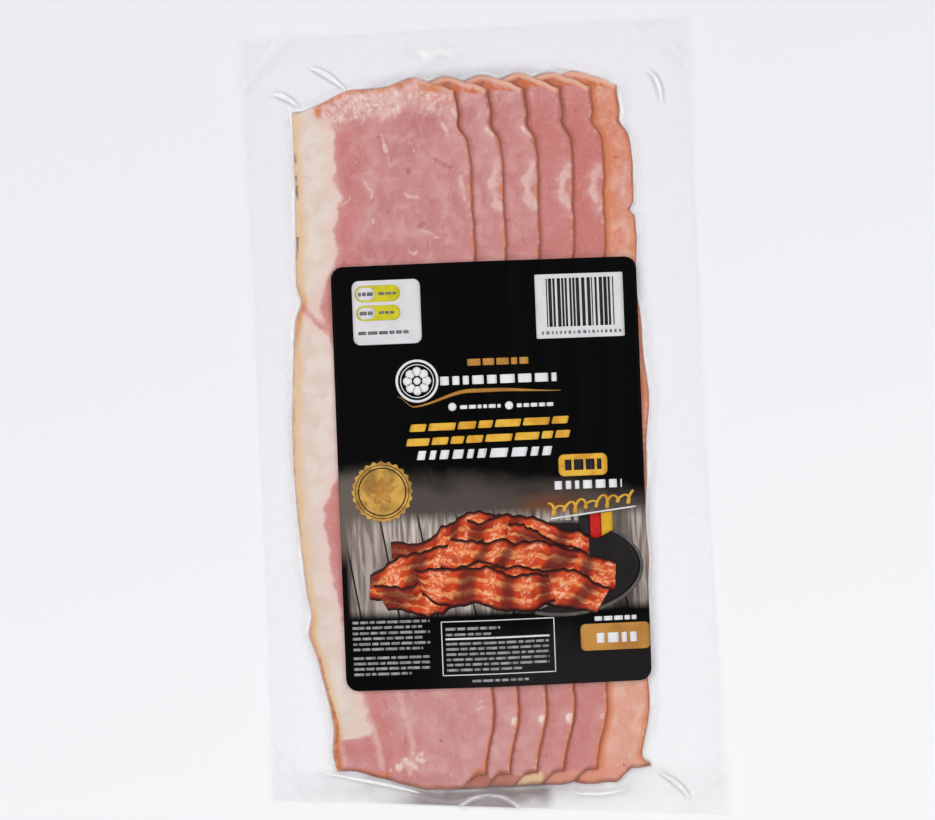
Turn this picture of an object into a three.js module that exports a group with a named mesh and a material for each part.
// A flat vacuum pack of sliced smoked bacon, lying on its back with the label up.
// Six thin rashers are shingled from left to right, the front one on top of the pile, inside a clear pouch
// whose film clings to them and runs out into a flat sealed border. A large label is stuck on the film.
// Millimetres. +X is the pack's right, +Y its top end and +Z up, out of the label. The origin is the centre
// of the pouch's outline, on the surface that the pack lies on.
import * as THREE from "three";
import { mergeVertices } from "three/addons/utils/BufferGeometryUtils.js";

// The pouch was cut off a little askew: wider at the bottom end, and longer on its right side.
const POUCH_BOTTOM_WIDTH = 147.8;
const POUCH_TOP_WIDTH = 145.9;
const POUCH_RIGHT_LENGTH = 260;
const TOP_LEFT_CORNER_SHORT = 1.3;
const BOTTOM_LEFT_CORNER_SHORT = 11;
const SIDE_DRAWN_IN = 0.8;
const BORDER_THICKNESS = 0.5;
const BORDER_REST = 0.75;
const BORDER_WAVE = 0.35;
const CORNER_LIFT = 1.6;

// The rashers come off one slab, so they share its shape. Each lies further right than the one above it.
// A bump is a bulge or a nick in an edge: where it is along the rasher, over what length, and how far out.
const SLICE_COUNT = 6;
const SLICE_THICKNESS = 1.25;
const LEFT_EDGE_MIDDLE = -57.8;
const LEFT_EDGE_PITCH = 10.4;
const LEFT_EDGE_BUMPS = [
  { at: -8, over: 50, by: -4.6 },
  { at: 42.5, over: 4, by: 1.8 },
  { at: -59, over: 4, by: 0.8 },
  { at: -66, over: 4, by: -1.1 },
  { at: -104, over: 5, by: -1.3 },
];
const LEFT_DRAWN_IN = { from: -60, to: -105, by: 5.6 };
const RIGHT_EDGE_MIDDLE = [-0.5, 8.8, 19.1, 29.4, 39.8, 51.2];
const RIGHT_EDGE_LEAN = [-0.2, 1.1, 2.4, 3.7, 3.4, 0.8];
const RIGHT_EDGE_NICK = { at: 97, over: 3, by: -1.6 };
const RIGHT_CURL_TOP = { from: 91, to: 109, by: -4 };
const RIGHT_CURL_BOTTOM = { from: -88, to: -114, by: -4 };
const OUTER_BELLY = { at: 4, over: 38, by: 2.2 };

// The ends of a rasher, by the distance inwards from its right edge: a hump and a sloping shoulder at the
// top, a heel and a rising shoulder at the bottom.
const TOP_END = 111;
const TOP_HUMP = { at: 14, over: 6, by: 3 };
const TOP_CORNER = { from: 6, to: 0, by: -2.2 };
const TOP_SHOULDER = { from: 32, to: 52, by: -6.5 };
const BOTTOM_END = -118;
const BOTTOM_HEEL = { from: 9, to: 3, by: 4.6 };
const BOTTOM_SHOULDER = { from: 16, to: 48, by: 7.5 };

// How far the film spans from a rasher's edge before it lies flat: more at the ends, where the pile is high.
const SIDE_SPAN = 1.7;
const END_SPAN_LEAST = 2;
const END_SPAN_MORE = { at: 4, over: 34, by: 4.5 };
const DRAPE_SPAN = 1.3 * LEFT_EDGE_PITCH;

// The label, put on by hand a little out of square. It bridges the steps between the rashers.
const LABEL_WIDTH = 99.4;
const LABEL_LENGTH = 138;
const LABEL_THICKNESS = 0.3;
const LABEL_CENTRE = new THREE.Vector2(1.8, -15.9);
const LABEL_TURN = THREE.MathUtils.degToRad(-0.3);
const LABEL_CORNER = 4;
const LABEL_GAP = 0.4;
const LABEL_SAG = 0.5;
const RIDGE_ROUNDING = 1.1;

const { lerp, smoothstep, clamp } = THREE.MathUtils;
const bell = (distance, width) => Math.exp(-((distance / width) ** 2));
const bump = ({ at, over, by }, place) => by * bell(place - at, over);
const ease = ({ from, to, by }, place) => by * smoothstep((place - from) / (to - from), 0, 1);

// The left edge of the front rasher, its rind: widest near the middle, drawn in at the bottom, nicked once.
function rindEdge(y) {
  const bumps = LEFT_EDGE_BUMPS.reduce((sum, one) => sum + bump(one, y), 0);
  return LEFT_EDGE_MIDDLE + bumps + ease(LEFT_DRAWN_IN, y);
}

// The right edge, relative to its middle: it curls in at both ends, is nicked once and lightly scalloped.
function slabRightEdge(y) {
  const scallops = 0.45 * Math.sin(y / 9.5 + 0.6) + 0.3 * Math.sin(y / 4.1);
  return ease(RIGHT_CURL_TOP, y) + ease(RIGHT_CURL_BOTTOM, y) + bump(RIGHT_EDGE_NICK, y) + scallops;
}

const leftEdge = (slice, y) => rindEdge(y) + slice * LEFT_EDGE_PITCH;

function rightEdge(slice, y) {
  const lean = (RIGHT_EDGE_LEAN[slice] * y) / 100;
  const belly = slice === SLICE_COUNT - 1 ? bump(OUTER_BELLY, y) : 0;
  return RIGHT_EDGE_MIDDLE[slice] + lean + belly + slabRightEdge(y);
}

function topEnd(slice, x) {
  const inward = rightEdge(slice, TOP_END) - x;
  return TOP_END + bump(TOP_HUMP, inward) + ease(TOP_CORNER, inward) + ease(TOP_SHOULDER, inward);
}

function bottomEnd(slice, x) {
  const inward = rightEdge(slice, BOTTOM_END) - x;
  return BOTTOM_END + ease(BOTTOM_HEEL, inward) + ease(BOTTOM_SHOULDER, inward);
}

// The film's span past the pile's ends grows with the pile's height, which is greatest near the middle.
const endSpan = (x) => END_SPAN_LEAST + bump(END_SPAN_MORE, x);

// The share of a rasher's thickness under the film at a point: all of it inside the rasher, none beyond the
// film's span. Upper rashers sag over its left edge, so its height comes in slowly there.
function cover(slice, x, y) {
  const span = slice === 0 ? SIDE_SPAN : DRAPE_SPAN;
  const inner = slice === 0 ? 0 : DRAPE_SPAN / 2;
  const fromLeft = smoothstep(x, leftEdge(slice, y) + inner - span, leftEdge(slice, y) + inner);
  const fromRight = 1 - smoothstep(x, rightEdge(slice, y), rightEdge(slice, y) + SIDE_SPAN);
  const fromTop = 1 - smoothstep(y, topEnd(slice, x), topEnd(slice, x) + endSpan(x));
  const fromBottom = smoothstep(y, bottomEnd(slice, x) - endSpan(x), bottomEnd(slice, x));
  return fromLeft * fromRight * fromTop * fromBottom;
}

function pile(x, y) {
  let layers = 0;
  for (let slice = 0; slice < SLICE_COUNT; slice += 1) layers += cover(slice, x, y);
  return layers;
}

// The middle of the sealed border's film: it floats a little off the surface, waves, and lifts at corners.
function borderHeight(x, y) {
  const across = (2 * x) / POUCH_BOTTOM_WIDTH;
  const along = (2 * y) / POUCH_RIGHT_LENGTH;
  const corner = Math.min(1, across ** 4 * along ** 4);
  const wave = Math.sin(y / 17 + 1.1 * Math.sign(x)) * across ** 2 + Math.sin(x / 13) * along ** 4;
  return BORDER_REST + CORNER_LIFT * corner + BORDER_WAVE * wave;
}

// The pouch's outline: its left and right sides at a share v of its length, and its two ends at a share u
// of its width.
function pouchSides(v) {
  const drawnIn = SIDE_DRAWN_IN * Math.sin(Math.PI * v);
  const left = -POUCH_BOTTOM_WIDTH / 2;
  const right = lerp(POUCH_BOTTOM_WIDTH / 2, left + POUCH_TOP_WIDTH, v);
  return { left: left + drawnIn, right: right - drawnIn };
}

function pouchEnds(u) {
  const half = POUCH_RIGHT_LENGTH / 2;
  return {
    bottom: lerp(BOTTOM_LEFT_CORNER_SHORT - half, -half, u),
    top: lerp(half - TOP_LEFT_CORNER_SHORT, half, u),
  };
}

// Splits each stretch between two neighbouring marks evenly into its own number of steps.
function subdivide(marks, steps) {
  const found = [marks[0]];
  steps.forEach((count, k) => {
    for (let j = 1; j <= count; j += 1) found.push(lerp(marks[k], marks[k + 1], j / count));
  });
  return found;
}

// The pouch's grid lines run beside the rashers' edges and ends, so that each step of the pile stays crisp.
const STEP_BESIDE_EDGE = [1, 2];
const COLUMN_STEPS = [3, 2, 12, ...Array(SLICE_COUNT - 1).fill(STEP_BESIDE_EDGE).flat(), 2, 3];
const ROW_STEPS = [2, 3, 3, 38, 3, 3, 2];
const ENDS_ZONE = 6;
const EDGE_LINES_FROM = -112;
const EDGE_LINES_TO = 107;

function columnsAt(y, v) {
  const { left, right } = pouchSides(v);
  const calmY = clamp(y, EDGE_LINES_FROM, EDGE_LINES_TO);
  const marks = [left, leftEdge(0, calmY) - SIDE_SPAN, leftEdge(0, calmY)];
  for (let slice = 0; slice < SLICE_COUNT; slice += 1) {
    const edge = rightEdge(slice, calmY);
    marks.push(edge, edge + SIDE_SPAN);
  }
  return subdivide([...marks, right], COLUMN_STEPS);
}

function rowsAt(x, u) {
  const { bottom, top } = pouchEnds(u);
  const slices = Array.from({ length: SLICE_COUNT }, (_, slice) => slice);
  const low = Math.min(...slices.map((slice) => bottomEnd(slice, x)));
  const high = Math.max(...slices.map((slice) => topEnd(slice, x)));
  const marks = [bottom, low - endSpan(x), low, low + ENDS_ZONE];
  marks.push(high - ENDS_ZONE, high, high + endSpan(x), top);
  return subdivide(marks, ROW_STEPS);
}

// A closed slab over a grid: a box whose every corner is put in its place by column, row and side.
function gridSlab(columns, rows, place) {
  const geometry = new THREE.BoxGeometry(1, 1, 1, columns, rows, 1);
  geometry.deleteAttribute("normal");
  geometry.deleteAttribute("uv");
  const position = geometry.getAttribute("position");
  for (let k = 0; k < position.count; k += 1) {
    const column = Math.round((position.getX(k) + 0.5) * columns);
    const row = Math.round((position.getY(k) + 0.5) * rows);
    const { x, y, z } = place(column, row, position.getZ(k) > 0);
    position.setXYZ(k, x, y, z);
  }
  const merged = mergeVertices(geometry, 1e-4);
  merged.computeVertexNormals();
  return merged;
}

// The filled pouch: film over rashers on top, flat underneath where it rests, thin at its sealed border.
function makePouch() {
  const columns = COLUMN_STEPS.reduce((sum, count) => sum + count);
  const rows = ROW_STEPS.reduce((sum, count) => sum + count);
  const geometry = gridSlab(columns, rows, (column, row, isUpper) => {
    const v = row / rows;
    const roughX = columnsAt(0, v)[column];
    const y = rowsAt(roughX, column / columns)[row];
    const x = columnsAt(y, v)[column];
    const layers = pile(x, y);
    const bare = 1 - Math.min(1, layers);
    const border = borderHeight(x, y);
    const upper = SLICE_THICKNESS * layers + BORDER_THICKNESS / 2 + border * bare;
    const lower = Math.max(0, border - BORDER_THICKNESS / 2) * bare;
    return { x, y, z: isUpper ? upper : lower };
  });
  const film = new THREE.MeshStandardMaterial({ color: 0xe3b0a4, roughness: 0.2, metalness: 0 });
  const mesh = new THREE.Mesh(geometry, film);
  mesh.name = "pouch";
  return mesh;
}

// The label's height: it rises evenly over the side where the rashers sag, then comes down over the other
// side from one rasher's edge to the next, sagging a little in between, rounded where the two slopes meet.
function labelHeight(x, y) {
  const one = SLICE_THICKNESS + BORDER_THICKNESS / 2;
  const rising = one + SLICE_THICKNESS * ((x - leftEdge(0, y)) / LEFT_EDGE_PITCH - 0.5);
  let falling = one + SLICE_THICKNESS * (SLICE_COUNT - 1);
  for (let slice = 1; slice < SLICE_COUNT; slice += 1) {
    const from = rightEdge(slice - 1, y) + SIDE_SPAN / 2;
    const to = rightEdge(slice, y) + SIDE_SPAN / 2;
    const across = clamp((x - from) / (to - from), 0, 1);
    falling -= SLICE_THICKNESS * across * (1 + LABEL_SAG * (1 - across));
  }
  const apart = Math.hypot(rising - falling, RIDGE_ROUNDING);
  return (rising + falling - apart) / 2 + RIDGE_ROUNDING / 2 + LABEL_GAP;
}

// The label is a thin rounded rectangle that follows the pile: its rows gather towards the round corners.
function makeLabel() {
  const cornerRows = 3;
  const middleRows = 18;
  const columns = 26;
  const rows = 2 * cornerRows + middleRows;
  const halfWidth = LABEL_WIDTH / 2;
  const straight = LABEL_LENGTH / 2 - LABEL_CORNER;
  const origin = new THREE.Vector2();
  const geometry = gridSlab(columns, rows, (column, row, isUpper) => {
    const side = row < rows / 2 ? -1 : 1;
    const fromEnd = Math.min(row, rows - row);
    const angle = (Math.PI / 2) * Math.max(0, 1 - fromEnd / cornerRows);
    const middleY = lerp(-straight, straight, (row - cornerRows) / middleRows);
    const alongY = angle > 0 ? side * (straight + LABEL_CORNER * Math.sin(angle)) : middleY;
    const reach = halfWidth - LABEL_CORNER * (1 - Math.cos(angle));
    const spot = new THREE.Vector2(lerp(-reach, reach, column / columns), alongY);
    spot.rotateAround(origin, LABEL_TURN).add(LABEL_CENTRE);
    const z = labelHeight(spot.x, spot.y) + (isUpper ? LABEL_THICKNESS : 0);
    return { x: spot.x, y: spot.y, z };
  });
  const paper = new THREE.MeshStandardMaterial({ color: 0x0f0f12, roughness: 0.35, metalness: 0 });
  const mesh = new THREE.Mesh(geometry, paper);
  mesh.name = "label";
  return mesh;
}

const pack = new THREE.Group();
pack.add(makePouch(), makeLabel());

export default pack;
